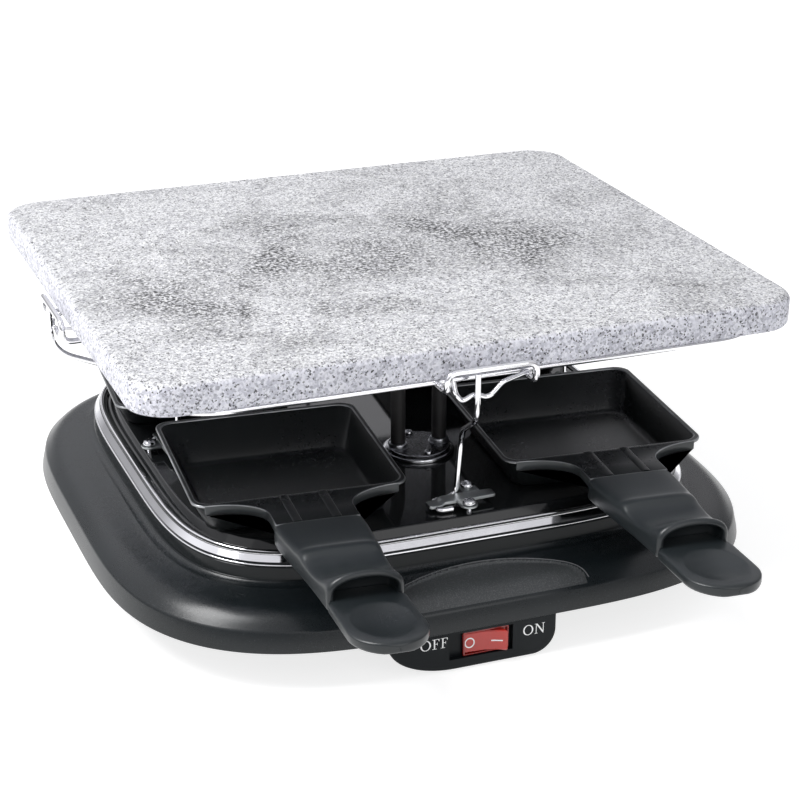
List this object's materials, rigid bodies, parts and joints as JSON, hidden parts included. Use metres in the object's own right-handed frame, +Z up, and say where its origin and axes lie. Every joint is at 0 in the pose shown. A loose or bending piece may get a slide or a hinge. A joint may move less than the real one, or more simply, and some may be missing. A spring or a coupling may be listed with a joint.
{
  "type": "raclette grill",
  "caption": "Tabletop raclette grill: a granite slab on a chromed wire rack over an electric heating element, with handled pans standing in a black enamelled dish on a flared plastic base.",
  "frame": {"origin": "centre of the outer box in plan, on the table under the feet", "axes": "+Z up, -Y towards the front with the switch, +X to the right seen from the front"},
  "size_m": [0.3108, 0.4732, 0.14],
  "materials": {
    "granite": "matte",
    "enamel": "gloss",
    "chrome": "polished",
    "steel": "satin",
    "body_plastic": "satin",
    "rubber": "matte",
    "element_tube": "satin",
    "ceramic": "matte",
    "brass": "satin",
    "switch_red": "gloss",
    "non_stick": "satin",
    "handle_plastic": "matte"
  },
  "bodies": {
    "base": {"dish": "enamel", "trim_ring": "chrome", "rack_ring": "chrome", "rack_loop_front": "chrome", "rack_loop_right": "chrome", "rack_loop_back": "chrome", "rack_loop_left": "chrome", "rack_leg_front": "chrome", "rack_leg_right": "chrome", "rack_leg_back": "chrome", "rack_leg_left": "chrome", "rack_brace_front": "chrome", "rack_brace_right": "chrome", "rack_brace_back": "chrome", "rack_brace_left": "chrome", "clamp_plate_front": "steel", "clamp_plate_right": "steel", "clamp_plate_back": "steel", "clamp_plate_left": "steel", "clamp_screw_front_outer": "steel", "clamp_screw_front_inner": "steel", "clamp_screw_right_outer": "steel", "clamp_screw_right_inner": "steel", "clamp_screw_back_outer": "steel", "clamp_screw_back_inner": "steel", "clamp_screw_left_outer": "steel", "clamp_screw_left_inner": "steel", "element_flange": "steel", "flange_screw_1": "steel", "flange_screw_2": "steel", "cover_screw_front_left": "steel", "cover_screw_front_right": "steel", "cover_screw_back_right": "steel", "cover_screw_back_left": "steel", "body_shell": "body_plastic", "base_cover": "body_plastic", "cord_gland": "rubber", "foot_front_left": "rubber", "foot_front_right": "rubber", "foot_back_right": "rubber", "foot_back_left": "rubber", "heating_element": "element_tube", "terminal_block": "ceramic", "thermal_cutout": "ceramic", "switch_terminal_left": "brass", "switch_terminal_right": "brass", "switch_frame": "switch_red"},
    "rocker": {"switch_rocker": "switch_red"},
    "slab": {"stone_plate": "granite"},
    "pan_front_left": {"pan_front_left": "non_stick", "pan_handle_front_left": "handle_plastic"},
    "pan_front_right": {"pan_front_right": "non_stick", "pan_handle_front_right": "handle_plastic"},
    "pan_back_right": {"pan_back_right": "non_stick", "pan_handle_back_right": "handle_plastic"},
    "pan_back_left": {"pan_back_left": "non_stick", "pan_handle_back_left": "handle_plastic"}
  },
  "joints": [
    {"name": "switch_rock", "type": "hinge", "parent": "base", "child": "rocker", "pos_m": [-0.007, -0.147, 0.0113], "axis": [0, 0, 1], "range_deg": [0, 18]},
    {"name": "slab_lift", "type": "slide", "parent": "base", "child": "slab", "axis": [0, 0, 1], "range_m": [0, 0.06]},
    {"name": "pan_pull_front_left", "type": "slide", "parent": "base", "child": "pan_front_left", "axis": [-0.0802, -0.9968, 0], "range_m": [0, 0.17]},
    {"name": "pan_pull_front_right", "type": "slide", "parent": "base", "child": "pan_front_right", "axis": [-0.0802, -0.9968, 0], "range_m": [0, 0.17]},
    {"name": "pan_pull_back_right", "type": "slide", "parent": "base", "child": "pan_back_right", "axis": [0.0802, 0.9968, 0], "range_m": [0, 0.17]},
    {"name": "pan_pull_back_left", "type": "slide", "parent": "base", "child": "pan_back_left", "axis": [0.0802, 0.9968, 0], "range_m": [0, 0.17]}
  ]
}
